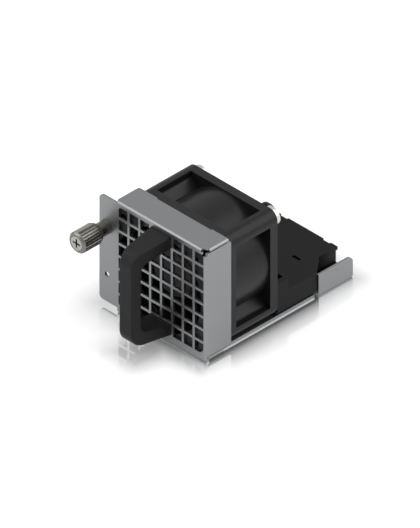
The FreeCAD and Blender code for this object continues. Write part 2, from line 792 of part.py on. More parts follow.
def impeller():
    """The moulded rotor: a cup with twisted blades."""
    piece = Piece("impeller", 0, FAN_FRONT, FAN_AXIS)
    hub, front, back = s.hub_radius, s.hub_front, s.hub_front + s.hub_depth
    edge = s.hub_wall
    piece.turned([(0, front), (hub - edge, front), (hub, front + edge), (hub, back), (0, back)])
    tip = s.fan_barrel_radius - s.fan_barrel_wall - s.tip_clearance

    def blade_section(sweep):
        """A bowed section, thickest at its middle, from the leading to the trailing edge."""
        lower, upper = [], []
        for station in range(BLADE_STATIONS + 1):
            along = station / BLADE_STATIONS
            bow = 4 * along * (1 - along)
            line = (sweep * (along - 0.5)) - s.blade_camber * bow
            half = s.blade_edge / 2 + (s.blade_thickness - s.blade_edge) / 2 * bow
            level = s.blade_front + (s.blade_rear - s.blade_front) * along
            lower.append((level, line - half))
            upper.append((level, line + half))
        return lower + upper[::-1]

    root = piece.sketch("YZ", hub - s.blade_root_depth, [blade_section(s.blade_root_sweep)])
    end = piece.sketch("YZ", tip + s.blade_thickness, [blade_section(s.blade_tip_sweep)])
    blade = piece.feature("AdditiveLoft", root)
    blade.Sections = [end]
    piece.around([blade], s.blade_count)
    piece.turned([(tip, 0), (tip + s.fan_width / 2, 0), (tip + s.fan_width / 2, s.fan_depth), (tip, s.fan_depth)],
                 kind="Groove")
    inside = hub - s.hub_wall
    piece.turned([(0, front + s.hub_wall), (inside, front + s.hub_wall), (inside, back), (0, back)], kind="Groove")
    nodes.append(("impeller", piece.body))


def rotor():
    """The steel cup, the magnet, the shaft and its clip, all turned inside the hub."""
    cup_front = s.hub_front + s.hub_wall
    outer = s.hub_radius - s.hub_wall
    inner = outer - s.yoke_wall
    yoke = Piece("rotor_yoke", 0, FAN_FRONT, FAN_AXIS)
    back = cup_front + s.yoke_depth
    yoke.turned([(s.shaft_radius, cup_front), (outer, cup_front), (outer, back), (inner, back),
                 (inner, cup_front + s.yoke_wall), (s.shaft_radius, cup_front + s.yoke_wall)])
    nodes.append(("rotor_yoke", yoke.body))
    magnet = Piece("rotor_magnet", 0, FAN_FRONT, FAN_AXIS)
    bore = inner - s.magnet_wall
    magnet.turned(box(bore, inner, back - s.magnet_depth, back))
    nodes.append(("rotor_magnet", magnet.body))
    shaft = Piece("motor_shaft", 0, FAN_FRONT, FAN_AXIS)
    neck = s.shaft_radius - s.clip_groove_depth
    groove = bearing_back() + s.clip_thickness
    shaft_back = groove + s.clip_thickness + s.shaft_tail
    radius = s.shaft_radius
    shaft.turned([(0, cup_front), (radius, cup_front), (radius, groove), (neck, groove),
                  (neck, groove + s.clip_thickness), (radius, groove + s.clip_thickness),
                  (radius, shaft_back), (0, shaft_back)])
    nodes.append(("motor_shaft", shaft.body))
    clip = Piece("shaft_clip", 0, FAN_FRONT, FAN_AXIS)
    clip.turned(box(neck, s.clip_radius, groove, groove + s.clip_thickness))
    nodes.append(("shaft_clip", clip.body))


def bearing_back():
    """The rear face of the rear bearing, from the fan's front."""
    return s.fan_depth - s.motor_base_depth - s.hub_wall


def bearings():
    """Two ball bearings pressed into a brass tube that stands on the motor base."""
    tube_back = s.fan_depth - s.hub_wall
    outer = s.bearing_radius + s.bearing_tube_wall
    tube = Piece("bearing_tube", 0, FAN_FRONT, FAN_AXIS)
    tube.turned(box(s.bearing_radius, outer, s.bearing_tube_front, tube_back))
    nodes.append(("bearing_tube", tube.body))
    bore = s.shaft_radius + s.bearing_running_fit
    shield = (s.bearing_radius - bore) / 4
    for name, front in (("front_bearing", s.bearing_tube_front), ("rear_bearing", bearing_back() - s.bearing_width)):
        bearing = Piece(name, 0, FAN_FRONT, FAN_AXIS)
        sunk = s.bearing_width / 10
        back = front + s.bearing_width
        bearing.turned([
            (bore, front), (bore + shield, front), (bore + shield, front + sunk),
            (s.bearing_radius - shield, front + sunk), (s.bearing_radius - shield, front),
            (s.bearing_radius, front), (s.bearing_radius, back), (s.bearing_radius - shield, back),
            (s.bearing_radius - shield, back - sunk), (bore + shield, back - sunk), (bore + shield, back), (bore, back),
        ])
        nodes.append((name, bearing.body))


def stator():
    """The four-pole iron core, its windings and the drive board behind it."""
    core = Piece("stator_core", 0, FAN_FRONT, FAN_AXIS)
    bore = s.bearing_radius + s.bearing_tube_wall
    yoke = bore + s.pole_shoe
    radius = s.hub_radius - s.hub_wall - s.yoke_wall - s.magnet_wall - s.air_gap
    front, back = s.stator_front, s.stator_front + s.stator_depth
    core.pad("XZ", front, back, Round(0, 0, yoke), Round(0, 0, bore))
    half = s.pole_width / 2
    wide = s.pole_shoe_width / 2
    shoe = radius - s.pole_shoe
    pole = core.pad("XZ", front, back, [
        (yoke - s.pole_shoe / 2, -half), (shoe, -half), (shoe - half / 2, -wide), (radius - half / 2, -wide),
        (radius, -half), (radius, half), (radius - half / 2, wide), (shoe - half / 2, wide),
        (shoe, half), (yoke - s.pole_shoe / 2, half),
    ])
    core.around([pole], 4)
    nodes.append(("stator_core", core.body))
    coils = Piece("stator_windings", 0, FAN_FRONT, FAN_AXIS)
    coils.body.AllowCompound = True
    wound = half + s.winding_build
    start = yoke + s.air_gap
    end = shoe - half / 2
    ends = s.winding_overhang
    coil = coils.pad("XZ", front - ends, back + ends, box(start, end, -wound, wound))
    coils.around([coil], 4)
    inside = coils.cut("XZ", front, back, box(start, end, -half, half))
    coils.around([inside], 4)
    nodes.append(("stator_windings", coils.body))
    board = Piece("motor_board", 0, FAN_FRONT, FAN_AXIS)
    board_back = s.fan_depth - s.motor_base_depth
    board.pad("XZ", board_back - s.motor_board_thickness, board_back,
              Round(0, 0, s.motor_board_radius), Round(0, 0, bore))
    nodes.append(("motor_board", board.body))


def thumbscrew():
    """The captive thumbscrew: knurled knob, shank, spring, and the ferrule in the ear."""
    spot = (-s.thumbscrew_offset, 0, s.thumbscrew_height)
    front, tail = -s.knob_front, -s.thumbscrew_travel - s.knob_gap
    cavity = front + s.knob_front_wall
    skirt = s.ferrule_radius + s.sliding_clearance
    knob = Piece("thumbscrew_knob", *spot)
    knob.turned([
        (s.thread_radius, front), (s.knob_face_radius, front), (s.knob_nose_radius, front + s.knob_bevel / 2),
        (s.knob_radius, front + s.knurl_start), (s.knob_radius, front + s.knurl_start + s.knurl_length),
        (s.knob_tail_radius, tail), (skirt, tail), (skirt, cavity), (s.thread_radius, cavity),
    ])
    ridge = s.knob_radius * math.pi / s.knurl_count
    low, high = s.knob_radius - s.knurl_depth, s.knob_radius + s.knurl_depth
    groove = knob.cut("XZ", front, tail, [(low, 0), (high, ridge), (high, -ridge)])
    knob.around([groove], s.knurl_count)
    nodes.append(("thumbscrew_knob", knob.body))
    shank = Piece("thumbscrew_shank", *spot)
    # The collar runs inside the ferrule, which is as long as the travel needs.
    ferrule_front = -(s.thumbscrew_travel + s.collar_width + 2 * s.ferrule_wall + 3 * s.sliding_clearance)
    collar = ferrule_front + s.ferrule_wall + s.sliding_clearance
    thread_start = s.sheet_thickness + s.sliding_clearance
    shank.turned([
        (0, front), (s.thread_radius, front), (s.thread_radius, collar), (s.collar_radius, collar),
        (s.collar_radius, collar + s.collar_width), (s.neck_radius, collar + s.collar_width),
        (s.neck_radius, thread_start), (s.thread_radius, thread_start),
        (s.thread_radius, s.thread_tip - s.thread_bevel), (s.thread_radius - s.thread_bevel, s.thread_tip),
        (0, s.thread_tip),
    ])
    slot, reach = s.slot_half_width, s.slot_reach
    for cross in (box(-slot, slot, -reach, reach), box(-reach, reach, -slot, slot)):
        shank.cut("XZ", front, front + s.slot_depth, cross)
    nodes.append(("thumbscrew_shank", shank.body))
    ferrule = Piece("thumbscrew_ferrule", *spot)
    bore = s.thread_radius + s.sliding_clearance
    room = s.ferrule_radius - s.ferrule_wall
    ferrule.turned([
        (bore, ferrule_front), (s.ferrule_radius, ferrule_front), (s.ferrule_radius, 0),
        (s.ferrule_seat_radius, 0), (s.ferrule_seat_radius, s.sheet_thickness), (bore, s.sheet_thickness),
        (bore, -s.ferrule_wall), (room, -s.ferrule_wall), (room, ferrule_front + s.ferrule_wall),
        (bore, ferrule_front + s.ferrule_wall),
    ])
    nodes.append(("thumbscrew_ferrule", ferrule.body))
    spring = Piece("thumbscrew_spring", *spot)
    wire = s.spring_wire_radius
    start = cavity + wire
    section = polygon(s.spring_radius, start, wire, SIZES["spring_wire_sides"])
    coil = spring.feature("AdditiveHelix", spring.sketch("XY", 0, [section]))
    coil.ReferenceAxis = (coil.Profile[0], ["V_Axis"])
    coil.Mode = "height-turns-angle"
    bind(coil, "Height", ferrule_front - wire - start)
    bind(coil, "Turns", s.spring_turns)
    nodes.append(("thumbscrew_spring", spring.body))


def tail_outline(shoulder, waist, half, tail, back):
    """The plug housing's plan: wide behind the fan, then drawn in towards the plug."""
    return [(-half, 0), (half, 0), (half, shoulder), (tail, waist), (tail, back),
            (-tail, back), (-tail, waist), (-half, shoulder)]


def connector_housing():
    """The moulded cover of the board, with a gate for the lead and an open rear end."""
    piece = Piece("connector_housing", 0, FAN_BACK, s.sheet_thickness)
    top, wall, back = s.housing_height, s.housing_wall, s.housing_length
    half, tail = s.housing_half_width, s.housing_tail_half_width
    shoulder, waist = s.housing_shoulder, s.housing_waist
    piece.pad("XY", top - wall, top, tail_outline(shoulder, waist, half, tail, back))
    piece.pad("XY", s.housing_skirt, top - wall, tail_outline(shoulder, waist, half, tail - s.housing_lip, back))
    piece.pad("XY", 0, s.housing_skirt,
              tail_outline(shoulder, waist, half - s.housing_lip, tail - s.housing_lip, back))
    piece.pad("XY", 0, s.housing_ledge, box(-tail, tail, waist + wall, back))
    piece.cut("XY", 0, top - wall, tail_outline(
        shoulder - wall / 2, waist - wall / 2, half - s.housing_lip - wall, tail - s.housing_lip - wall, back)[2:-1]
        + [(-half + s.housing_lip + wall, shoulder - wall / 2), (-half + s.housing_lip + wall, wall),
           (half - s.housing_lip - wall, wall)])
    # Walls close the rear on each side of the plug.
    for side in (-1, 1):
        outer = tail - s.housing_lip - wall / 2
        piece.pad("XY", 0, top - wall / 2, box(side * s.socket_half_width, side * outer, back - wall, back))
    # The fan's two lower screw heads stand in round reliefs.
    head = s.fan_head_radius + s.screw_hole_clearance
    lower = s.fan_width / 2 - s.fan_screw_spacing / 2
    piece.cut("XZ", 0, s.fan_head_height + s.screw_hole_clearance, *[
        Round(side * s.fan_screw_spacing / 2, lower, head) for side in (-1, 1)])
    for inner in (half - s.horn_width, -half):
        piece.pad("YZ", inner, inner + s.horn_width, box(0, s.horn_length, top - wall, top + s.horn_height))
    piece.cut("XY", top - wall, top, box(s.lead_gate_left, half - s.horn_width, 0, s.lead_gate_length))
    for side in (-1, 1):
        near, far = side * s.vent_start, side * (s.vent_start + s.vent_width)
        piece.cut("XY", top - wall / 2, top, box(near, far, s.vent_back - s.vent_length, s.vent_back))
        piece.cut("XY", top - wall / 2, top, box(near, far, back - wall / 2, back))
    spots = [(x, y - FAN_BACK) for x, y in housing_screw_spots()]
    piece.pad("XY", 0, top - wall / 2, *[Round(x, y, s.housing_post_radius) for x, y in spots])
    piece.cut("XY", 0, s.housing_screw_length, *[Round(x, y, s.housing_screw_radius) for x, y in spots])
    board_top = s.board_height + s.board_thickness
    piece.pad("XY", board_top, top - wall / 2, *[Round(x, y, s.post_radius) for x, y in board_spots()])
    piece.cut("XY", board_top, top - wall, *[Round(x, y, s.board_screw_radius) for x, y in board_spots()])
    nodes.append(("connector_housing", piece.body))


def board_spots():
    """The two posts that carry the board, from the fan's back."""
    return [(-s.board_post_offset, s.board_post_back), (s.board_post_offset, s.board_post_back)]


def housing_screws():
    """Four flat-head screws from under the tray."""
    screws = []
    for number, spot in enumerate(housing_screw_spots()):
        head = sink(f"housing_screw_head_{number}", spot, play=as_size(0))
        shank = cylinder(f"housing_screw_shank_{number}", s.housing_screw_radius,
                         s.housing_screw_length, *spot, s.sheet_thickness, along="z")
        screws.append(fused(f"housing_screw_{number}", head, shank))
    nodes.append(("housing_screws", group("housing_screws", screws)))


def boards_and_plugs():
    """The board in the housing, the fan's plug and header, and the rear plug with its pins."""
    board = Piece("adapter_board", 0, FAN_BACK, s.sheet_thickness)
    low, high = s.board_height, s.board_height + s.board_thickness
    half, front, back = s.board_half_width, s.board_front, s.board_front + s.board_length
    board.pad("XY", low, high, box(-half, half, front, back),
              *[Round(x, y, s.board_screw_radius) for x, y in board_spots()])
    nodes.append(("adapter_board", board.body))
    screws = []
    under = s.sheet_thickness + low - s.board_screw_head_height
    for number, (x, y) in enumerate(board_spots()):
        head = cylinder(f"board_screw_head_{number}", s.board_screw_head, s.board_screw_head_height,
                        x, FAN_BACK + y, under, along="z")
        shank = cylinder(f"board_screw_shank_{number}", s.board_screw_radius,
                         s.board_screw_head_height + s.board_thickness + s.post_radius,
                         x, FAN_BACK + y, under, along="z")
        screws.append(fused(f"board_screw_{number}", head, shank))
    nodes.append(("board_screws", group("board_screws", screws)))
    header = Piece("board_header", s.header_offset, FAN_BACK, s.sheet_thickness)
    width, length = s.header_half_width, s.header_length
    shell = s.header_half_width - s.plug_half_width
    header.pad("XY", high, high + s.header_height, box(-width, width, front, front + length))
    header.cut("XZ", front, front + length - shell, box(
        -s.plug_half_width, s.plug_half_width, high + shell, high + s.header_height))
    nodes.append(("board_header", header.body))
    plug = Piece("lead_plug", s.header_offset, FAN_BACK, s.sheet_thickness)
    bottom = high + shell
    plug.pad("XY", bottom, bottom + s.plug_height, box(
        -s.plug_half_width, s.plug_half_width, front + length - shell - s.plug_length - shell, front + length - shell))
    nodes.append(("lead_plug", plug.body))
    socket = Piece("blind_mate_plug", 0, FAN_BACK, s.sheet_thickness)
    top = s.housing_height - s.housing_wall
    rear = s.housing_length
    inner, wall = rear - s.socket_length, s.socket_wall
    wide = s.socket_half_width
    socket.pad("XZ", inner, rear, box(-wide, wide, 0, top))
    socket.cut("XZ", inner + s.socket_floor, rear, box(-wide + wall, wide - wall, wall, top - wall))
    pins = [s.pin_pitch * number for number in range(SIZES["pin_count"])]
    first = -s.pin_pitch * (s.pin_count - 1) / 2
    ends = [(first + offset - s.pin_width / 2, first + offset + s.pin_width / 2) for offset in pins]
    socket.cut("XZ", inner, inner + s.socket_floor, *[box(a, b, high, high + s.pin_width) for a, b in ends])
    nodes.append(("blind_mate_plug", socket.body))
    contacts = Piece("contact_pins", 0, FAN_BACK, s.sheet_thickness)
    contacts.body.AllowCompound = True
    contacts.pad("XZ", inner - s.pin_tail, rear - s.pin_tip_setback, *[
        box(a, b, high, high + s.pin_width) for a, b in ends])
    nodes.append(("contact_pins", contacts.body))


def lead_route():
    """The lead's corners in the module: out of the motor, over the corner and down to its plug."""
    plug_front = (FAN_BACK + s.board_front + s.header_length - s.plug_length
                  - 2 * (s.header_half_width - s.plug_half_width))
    level = s.sheet_thickness + s.board_height + s.board_thickness + s.header_height / 2
    away = FAN_BACK + s.lead_standoff
    exit_height = FAN_AXIS + s.lead_exit_height
    crest = FAN_AXIS + s.lead_crest_height
    return [
        (s.lead_exit_offset, FAN_BACK, exit_height), (s.lead_exit_offset, away, exit_height),
        (s.lead_crest_left, away, crest), (s.lead_crest_right, away, crest),
        (s.lead_crest_right - s.lead_sway, away, crest - s.lead_drop),
        (s.lead_fall_offset, away, level), (s.header_offset, plug_front - s.lead_plug_run, level),
        (s.header_offset, plug_front, level),
    ]


def fan_lead():
    """The sleeved lead, swept along straight runs joined by tangent arcs."""
    points = [FreeCAD.Vector(*[as_size(size).value for size in point]) for point in lead_route()]
    edges = []
    start = points[0]
    for before, corner, after in zip(points, points[1:], points[2:]):
        first, second = before - corner, after - corner
        half_turn = (corner - before).getAngle(second) / 2
        reach = BEND_SHARE * min(first.Length, second.Length)
        radius = reach / math.tan(half_turn)
        entry = corner + first.normalize() * reach
        leave = corner + second.normalize() * reach
        inward = (first + second).normalize()
        middle = corner + inward * ((reach ** 2 + radius ** 2) ** 0.5 - radius)
        edges += [Part.LineSegment(start, entry), Part.Arc(entry, middle, leave)]
        start = leave
        print(f"lead corner radius {radius:.2f}")
    edges.append(Part.LineSegment(start, points[-1]))
    path = Part.Wire([edge.toShape() for edge in edges])
    radius = s.lead_radius.value
    corners = [points[0] + FreeCAD.Vector(across, 0, up) for across, up in polygon(0, 0, radius, SIZES["lead_sides"])]
    outline = Part.makePolygon(corners + corners[:1])
    lead = doc.addObject("Part::Feature", "fan_lead")
    lead.Label = "fan_lead"
    lead.Shape = path.makePipeShell([outline], True, False)
    place(lead, as_size(0), as_size(0), as_size(0))
    volume = Part.Face(outline).Area * path.Length
    print(f"lead length {path.Length:.1f}, volume ratio {lead.Shape.Volume / volume:.4f}")
    nodes.append(("fan_lead", lead))


for make in (bracket, handle, handle_screws, mounting_frame, frame_nuts, fan_frame, fan_screws, impeller, rotor,
             bearings, stator, thumbscrew, connector_housing, housing_screws, boards_and_plugs, fan_lead):
    make()

doc.recompute()
for item in doc.Objects:
    if "Invalid" in item.State or "Error" in item.State:
        raise RuntimeError(f"{item.Name} failed: {item.State}")
for name, node in nodes:
    if node.Shape.isNull() or not node.Shape.isValid():
        raise RuntimeError(f"{name} has no valid shape")
os.makedirs("parts", exist_ok=True)
for name, node in nodes:
    node.Shape.exportStep(f"parts/{name}.step")
    bounds = node.Shape.BoundBox
    print(f"{name}: {len(node.Shape.Solids)} solids, {node.Shape.Volume:.1f} mm3, "
          f"X {bounds.XMin:.2f} {bounds.XMax:.2f} Y {bounds.YMin:.2f} {bounds.YMax:.2f} "
          f"Z {bounds.ZMin:.2f} {bounds.ZMax:.2f}")
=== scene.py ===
"""Looks of a hot-swappable fan module: a bent sheet tray that carries a 40 mm fan, with a pull
handle and a captive thumbscrew in front and a plug housing at the back. All sizes are in metres."""

import math

import bmesh
import bpy
from mathutils import Matrix, Vector


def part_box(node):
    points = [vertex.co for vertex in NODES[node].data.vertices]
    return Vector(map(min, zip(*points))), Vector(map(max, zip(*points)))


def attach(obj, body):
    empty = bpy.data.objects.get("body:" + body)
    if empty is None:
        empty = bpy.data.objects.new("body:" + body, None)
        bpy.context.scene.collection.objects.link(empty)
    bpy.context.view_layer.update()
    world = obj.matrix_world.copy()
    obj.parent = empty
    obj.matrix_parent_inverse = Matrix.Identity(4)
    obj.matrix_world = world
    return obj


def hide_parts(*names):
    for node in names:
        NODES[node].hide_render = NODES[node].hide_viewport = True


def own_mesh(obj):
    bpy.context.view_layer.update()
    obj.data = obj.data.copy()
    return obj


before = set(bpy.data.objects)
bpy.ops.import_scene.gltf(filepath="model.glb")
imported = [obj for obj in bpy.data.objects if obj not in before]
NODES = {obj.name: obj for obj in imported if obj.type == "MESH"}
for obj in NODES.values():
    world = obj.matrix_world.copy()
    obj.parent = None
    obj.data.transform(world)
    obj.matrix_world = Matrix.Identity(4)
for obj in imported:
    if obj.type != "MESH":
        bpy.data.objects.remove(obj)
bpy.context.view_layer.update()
MM = 0.001

# Camera. The photograph is taken from the front right and above, with a lens so long that
# upright and level edges stay parallel, so the camera is orthographic.
AZIMUTH = math.radians(45.2)
ELEVATION = math.radians(34.9)
VIEW_HEIGHT = 166.5 * MM
AIM = Vector((0.14, 0.14, 13.9)) * MM
AWAY, FAR_CLIP = 0.6, 4.0
towards_camera = Vector((math.sin(AZIMUTH) * math.cos(ELEVATION),
                         -math.cos(AZIMUTH) * math.cos(ELEVATION), math.sin(ELEVATION)))
camera_data = bpy.data.cameras.new("camera")
camera_data.type = "ORTHO"
camera_data.ortho_scale = VIEW_HEIGHT
camera_data.clip_end = FAR_CLIP
camera = bpy.data.objects.new("camera", camera_data)
bpy.context.scene.collection.objects.link(camera)
camera.location = AIM + AWAY * towards_camera
camera.rotation_euler = (math.pi / 2 - ELEVATION, 0, AZIMUTH)
bpy.context.scene.camera = camera
bpy.context.scene.view_settings.view_transform = "Standard"


# Studio. A pale glossy floor fades into a white surround, so that the module keeps a soft
# shadow and a mirrored image under it. Three large soft lamps stand round it.
def new_material(name):
    """An empty node material, with its links and its output."""
    material = bpy.data.materials.new(name)
    material.use_nodes = True
    tree = material.node_tree
    tree.nodes.clear()
    return material, tree, tree.nodes.new("ShaderNodeOutputMaterial")


FLOOR_COLOUR = (0.80, 0.80, 0.805, 1)
FLOOR_GLOW = 0.42
FLOOR_SIZE = 3.0
FLOOR_DROP = 0.05 * MM
MIRROR_ROUGHNESS = 0.07
FOOT_SHARE, HANDLE_SHARE = 0.92, 0.50
MIRROR_FADE, FADE_POWER = 20 * MM, 3.0
bpy.ops.object.select_all(action="DESELECT")
bpy.ops.mesh.primitive_plane_add(size=FLOOR_SIZE, location=(0, 0, -FLOOR_DROP))
floor = bpy.context.object
floor.name = "studio_floor"
floor_material, tree, output = new_material("pale_floor")


def vector_step(tree, operation, first, second=None):
    """One step of vector arithmetic on a link; the second value, if any, is a constant."""
    node = tree.nodes.new("ShaderNodeVectorMath")
    node.operation = operation
    tree.links.new(first, node.inputs[0])
    if second is not None:
        node.inputs[1].default_value = second
    return node


def math_step(tree, operation, first, second):
    """One step of arithmetic on a link; the second value is a link or a constant."""
    node = tree.nodes.new("ShaderNodeMath")
    node.operation = operation
    tree.links.new(first, node.inputs[0])
    if isinstance(second, float):
        node.inputs[1].default_value = second
    else:
        tree.links.new(second, node.inputs[1])
    return node.outputs["Value"]


def share_near(tree, place, node, strength):
    """How much the floor mirrors: most inside a CAD node's plan, and fading away from it."""
    low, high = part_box(node)
    middle, half = (low + high) / 2, (high - low) / 2
    from_middle = vector_step(tree, "SUBTRACT", place, (middle.x, middle.y, 0))
    spread = vector_step(tree, "ABSOLUTE", from_middle.outputs["Vector"])
    outside = vector_step(tree, "SUBTRACT", spread.outputs["Vector"], (half.x, half.y, 1))
    beyond = vector_step(tree, "MAXIMUM", outside.outputs["Vector"], (0, 0, 0))
    distance = vector_step(tree, "LENGTH", beyond.outputs["Vector"])
    fade = tree.nodes.new("ShaderNodeMapRange")
    fade.inputs["From Max"].default_value = MIRROR_FADE
    fade.inputs["To Min"].default_value = 1.0
    fade.inputs["To Max"].default_value = 0.0
    tree.links.new(distance.outputs["Value"], fade.inputs["Value"])
    steep = math_step(tree, "POWER", fade.outputs["Result"], FADE_POWER)
    return math_step(tree, "MULTIPLY", steep, strength)


floor_place = tree.nodes.new("ShaderNodeTexCoord").outputs["Object"]
share = math_step(tree, "MAXIMUM", share_near(tree, floor_place, "bracket", FOOT_SHARE),
                  share_near(tree, floor_place, "handle", HANDLE_SHARE))
paint = tree.nodes.new("ShaderNodeBsdfDiffuse")
paint.inputs["Color"].default_value = FLOOR_COLOUR
mirror = tree.nodes.new("ShaderNodeBsdfGlossy")
mirror.inputs["Roughness"].default_value = MIRROR_ROUGHNESS
shine = tree.nodes.new("ShaderNodeEmission")
path = tree.nodes.new("ShaderNodeLightPath")
seen = math_step(tree, "MAXIMUM", path.outputs["Is Camera Ray"], path.outputs["Is Glossy Ray"])
tree.links.new(math_step(tree, "MULTIPLY", seen, FLOOR_GLOW), shine.inputs["Strength"])
lit = tree.nodes.new("ShaderNodeAddShader")
tree.links.new(paint.outputs[0], lit.inputs[0])
tree.links.new(shine.outputs[0], lit.inputs[1])
surface = tree.nodes.new("ShaderNodeMixShader")
seen_share = math_step(tree, "MULTIPLY", share, path.outputs["Is Camera Ray"])
tree.links.new(seen_share, surface.inputs["Fac"])
tree.links.new(lit.outputs[0], surface.inputs[1])
tree.links.new(mirror.outputs[0], surface.inputs[2])
tree.links.new(surface.outputs[0], output.inputs["Surface"])
floor.data.materials.append(floor_material)

WHITE = (1, 1, 1, 1)
AMBIENT, MIRRORED, SHOWN = 0.30, 0.81, 1.0
world = bpy.data.worlds.new("surround")
bpy.context.scene.world = world
world.use_nodes = True
tree = world.node_tree
tree.nodes.clear()
world_output = tree.nodes.new("ShaderNodeOutputWorld")
background = tree.nodes.new("ShaderNodeBackground")
background.inputs["Color"].default_value = WHITE
world_path = tree.nodes.new("ShaderNodeLightPath")
extra_shown = math_step(tree, "MULTIPLY", world_path.outputs["Is Camera Ray"], SHOWN - AMBIENT)
extra_mirrored = math_step(tree, "MULTIPLY", world_path.outputs["Is Glossy Ray"], MIRRORED - AMBIENT)
extra = math_step(tree, "ADD", extra_shown, extra_mirrored)
tree.links.new(math_step(tree, "ADD", extra, AMBIENT), background.inputs["Strength"])
tree.links.new(background.outputs[0], world_output.inputs["Surface"])


def soft_lamp(name, azimuth, elevation, distance, size, power):
    """A square lamp that shines at the module from a compass direction and a height, in degrees."""
    data = bpy.data.lights.new(name, "AREA")
    data.shape = "SQUARE"
    data.size = size
    data.energy = power
    lamp = bpy.data.objects.new(name, data)
    bpy.context.scene.collection.objects.link(lamp)
    turn, lift = math.radians(azimuth), math.radians(elevation)
    direction = Vector((math.cos(turn) * math.cos(lift), math.sin(turn) * math.cos(lift), math.sin(lift)))
    lamp.location = AIM + direction * distance
    lamp.rotation_euler = direction.to_track_quat("Z", "Y").to_euler()


LAMP_DISTANCE = 0.9
soft_lamp("front_left_lamp", azimuth=-135, elevation=38, distance=LAMP_DISTANCE, size=0.9, power=4.2)
soft_lamp("back_right_lamp", azimuth=45, elevation=38, distance=LAMP_DISTANCE, size=0.9, power=4.6)
soft_lamp("overhead_lamp", azimuth=-45, elevation=80, distance=LAMP_DISTANCE, size=0.8, power=2.6)


# Sheet metal: the tray with its plate, ear, grille, flange and rails is one blank of
# zinc-plated steel sheet, 0.9 mm thick, punched and bent, with a dull and slightly mottled plating.
def group_node(tree, group, **values):
    """Places a node group in a material with its own values."""
    node = tree.nodes.new("ShaderNodeGroup")
    node.node_tree = group
    for name, value in values.items():
        node.inputs[name.replace("_", " ")].default_value = value
    return node


def new_group(name, inputs, outputs):
    """A shader node group with named sockets: (name, kind, start value)."""
    group = bpy.data.node_groups.new(name, "ShaderNodeTree")
    for label, kind, value in inputs:
        group.interface.new_socket(label, in_out="INPUT", socket_type=kind).default_value = value
    for label, kind in outputs:
        group.interface.new_socket(label, in_out="OUTPUT", socket_type=kind)
    return group, group.nodes.new("NodeGroupInput"), group.nodes.new("NodeGroupOutput")


CLOUD_DETAIL, SPECK_DETAIL, SPECK_SHARE = 4.0, 2.0, 0.4
MIDDLE_TONE, METAL_SPECULAR = 0.5, 0.5


def build_mottle():
    """Cloudy change of tone and gloss, with fine specks, over a colour."""
    group, given, result = new_group("mottle", [
        ("Colour", "NodeSocketColor", (0.5, 0.5, 0.5, 1)), ("Cloud Scale", "NodeSocketFloat", 200.0),
        ("Speck Scale", "NodeSocketFloat", 3000.0), ("Contrast", "NodeSocketFloat", 0.1),
        ("Roughness", "NodeSocketFloat", 0.4), ("Roughness Swing", "NodeSocketFloat", 0.1)],
        [("Colour", "NodeSocketColor"), ("Roughness", "NodeSocketFloat"), ("Height", "NodeSocketFloat")])
    add, link = group.nodes.new, group.links.new
    place = add("ShaderNodeTexCoord")
    cloud, speck = add("ShaderNodeTexNoise"), add("ShaderNodeTexNoise")
    for noise, scale in ((cloud, "Cloud Scale"), (speck, "Speck Scale")):
        link(place.outputs["Object"], noise.inputs["Vector"])
        link(given.outputs[scale], noise.inputs["Scale"])
    cloud.inputs["Detail"].default_value = CLOUD_DETAIL
    speck.inputs["Detail"].default_value = SPECK_DETAIL
    both = add("ShaderNodeMix")
    both.inputs["Factor"].default_value = SPECK_SHARE
    link(cloud.outputs["Fac"], both.inputs["A"])
    link(speck.outputs["Fac"], both.inputs["B"])
    swing = add("ShaderNodeMath")
    swing.operation = "SUBTRACT"
    swing.inputs[1].default_value = MIDDLE_TONE
    link(both.outputs["Result"], swing.inputs[0])
    value = add("ShaderNodeMath")
    value.operation = "MULTIPLY_ADD"
    value.inputs[2].default_value = 1.0
    link(swing.outputs[0], value.inputs[0])
    link(given.outputs["Contrast"], value.inputs[1])
    tone = add("ShaderNodeHueSaturation")
    link(given.outputs["Colour"], tone.inputs["Color"])
    link(value.outputs[0], tone.inputs["Value"])
    gloss = add("ShaderNodeMath")
    gloss.operation = "MULTIPLY_ADD"
    link(swing.outputs[0], gloss.inputs[0])
    link(given.outputs["Roughness Swing"], gloss.inputs[1])
    link(given.outputs["Roughness"], gloss.inputs[2])
    link(tone.outputs["Color"], result.inputs["Colour"])
    link(gloss.outputs[0], result.inputs["Roughness"])
    link(speck.outputs["Fac"], result.inputs["Height"])
    return group


MOTTLE = build_mottle()
RELIEF_DEPTH = 0.02 * MM


def finish_material(name, colour, roughness, metallic=0.0, contrast=0.1, swing=0.1, cloud=200.0,
                    speck=3000.0, bump=0.1, edge=0.0, specular=0.25):
    """A Principled material whose tone, gloss and fine relief vary over the piece."""
    material, tree, output = new_material(name)
    shader = tree.nodes.new("ShaderNodeBsdfPrincipled")
    mottle = group_node(tree, MOTTLE, Colour=(*colour, 1), Cloud_Scale=cloud, Speck_Scale=speck,
                        Contrast=contrast, Roughness=roughness, Roughness_Swing=swing)
    relief = tree.nodes.new("ShaderNodeBump")
    relief.inputs["Strength"].default_value = bump
    relief.inputs["Distance"].default_value = RELIEF_DEPTH
    tree.links.new(mottle.outputs["Colour"], shader.inputs["Base Color"])
    tree.links.new(mottle.outputs["Roughness"], shader.inputs["Roughness"])
    tree.links.new(mottle.outputs["Height"], relief.inputs["Height"])
    if edge:
        rounded = tree.nodes.new("ShaderNodeBevel")
        rounded.inputs["Radius"].default_value = edge
        tree.links.new(rounded.outputs["Normal"], relief.inputs["Normal"])
    tree.links.new(relief.outputs["Normal"], shader.inputs["Normal"])
    tree.links.new(shader.outputs[0], output.inputs["Surface"])
    shader.inputs["Metallic"].default_value = metallic
    shader.inputs["Specular IOR Level"].default_value = METAL_SPECULAR if metallic else specular
    return material


def wear(node, material):
    """Gives a CAD node its material."""
    NODES[node].data.materials.clear()
    NODES[node].data.materials.append(material)


